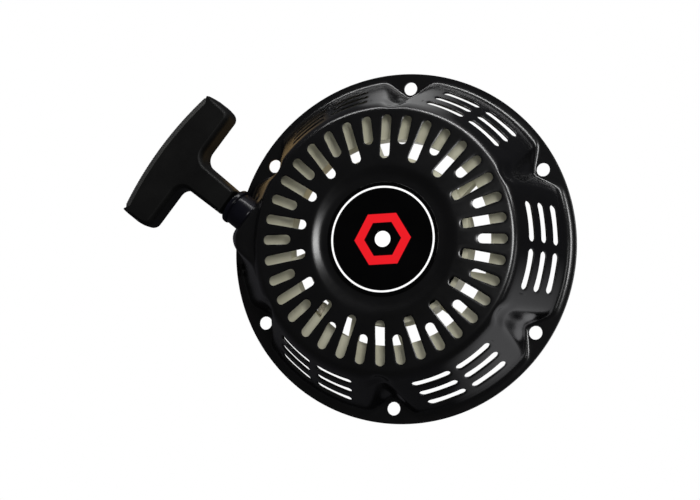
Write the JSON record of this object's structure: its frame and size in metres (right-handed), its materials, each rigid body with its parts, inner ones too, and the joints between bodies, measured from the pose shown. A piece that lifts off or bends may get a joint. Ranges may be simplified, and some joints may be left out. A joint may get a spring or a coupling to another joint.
{
  "type": "recoil starter",
  "caption": "Pull-rope starter for a small engine: round vented steel case, sprung rope reel with swing-out ratchets, and a T handle on the rope.",
  "frame": {"origin": "centre of the flange's bolt circle, on the flange's mounting face", "axes": "+Z along the starter's axis, out through the front of the case; -X is the way the rope is pulled"},
  "size_m": [0.2575, 0.208, 0.046],
  "materials": {
    "case_paint": "gloss black stoved paint on pressed steel",
    "badge_film": "gloss black printed film with a plain white ring and a red hexagon",
    "reel_nylon": "natural ivory nylon, satin",
    "guide_plastic": "black nylon, satin",
    "grip_plastic": "black moulded plastic, fine spark texture",
    "cover_plastic": "black moulded plastic with fine ribs",
    "rope": "braided off-white nylon rope",
    "zinc_steel": "bright zinc plate",
    "ratchet_steel": "case-hardened steel, dull",
    "guide_plate_steel": "yellow zinc plate",
    "spring_steel": "blued spring steel"
  },
  "bodies": {
    "case": {"housing": "case_paint", "face_badge": "badge_film", "centre_post": "zinc_steel", "centre_screw": "zinc_steel", "rope_guide": "guide_plastic"},
    "reel": {"reel": "reel_nylon", "rope_wound": "rope", "reel_knot": "rope", "recoil_spring": "spring_steel", "ratchet_spring_a": "spring_steel", "ratchet_spring_b": "spring_steel"},
    "guide_plate": {"ratchet_guide": "guide_plate_steel", "friction_spring": "spring_steel"},
    "ratchet_a": {"ratchet_a": "ratchet_steel"},
    "ratchet_b": {"ratchet_b": "ratchet_steel"},
    "rope_end": {"rope_run": "rope", "handle_knot": "rope"},
    "handle": {"handle_grip": "grip_plastic", "handle_cover": "cover_plastic", "rope_plate": "zinc_steel"}
  },
  "joints": [
    {"name": "reel_spin", "type": "hinge", "parent": "case", "child": "reel", "pos_m": [0, 0, 0.02], "axis": [0, 0, 1], "range_deg": [-1100, 0], "stiffness_Nm_per_rad": 0.03, "springref_deg": 229.18, "deforming": ["recoil_spring"]},
    {"name": "rope_pull", "type": "slide", "parent": "case", "child": "rope_end", "axis": [-1, 0, 0], "range_m": [0, 1.345], "deforming": ["rope_run"]},
    {"name": "handle_twist", "type": "hinge", "parent": "rope_end", "child": "handle", "pos_m": [-0.11, -0.0405, 0.024], "axis": [-1, 0, 0], "range_deg": [-180, 180]},
    {"name": "guide_turn", "type": "hinge", "parent": "reel", "child": "guide_plate", "pos_m": [0, 0, 0.007], "axis": [0, 0, 1], "range_deg": [0, 20], "stiffness_Nm_per_rad": 0.01, "springref_deg": -28.65},
    {"name": "ratchet_a_swing", "type": "hinge", "parent": "reel", "child": "ratchet_a", "pos_m": [0.02443, 0.00889, 0.0115], "axis": [0, 0, 1], "range_deg": [0, 25], "deforming": ["ratchet_spring_a"]},
    {"name": "ratchet_b_swing", "type": "hinge", "parent": "reel", "child": "ratchet_b", "pos_m": [-0.02443, -0.00889, 0.0115], "axis": [0, 0, 1], "range_deg": [0, 25], "deforming": ["ratchet_spring_b"]}
  ],
  "couplings": [
    {"joint": "rope_pull", "follows": "reel_spin", "m_per_rad": -0.07},
    {"joint": "ratchet_a_swing", "follows": "guide_turn", "ratio": 1.25},
    {"joint": "ratchet_b_swing", "follows": "guide_turn", "ratio": 1.25}
  ]
}
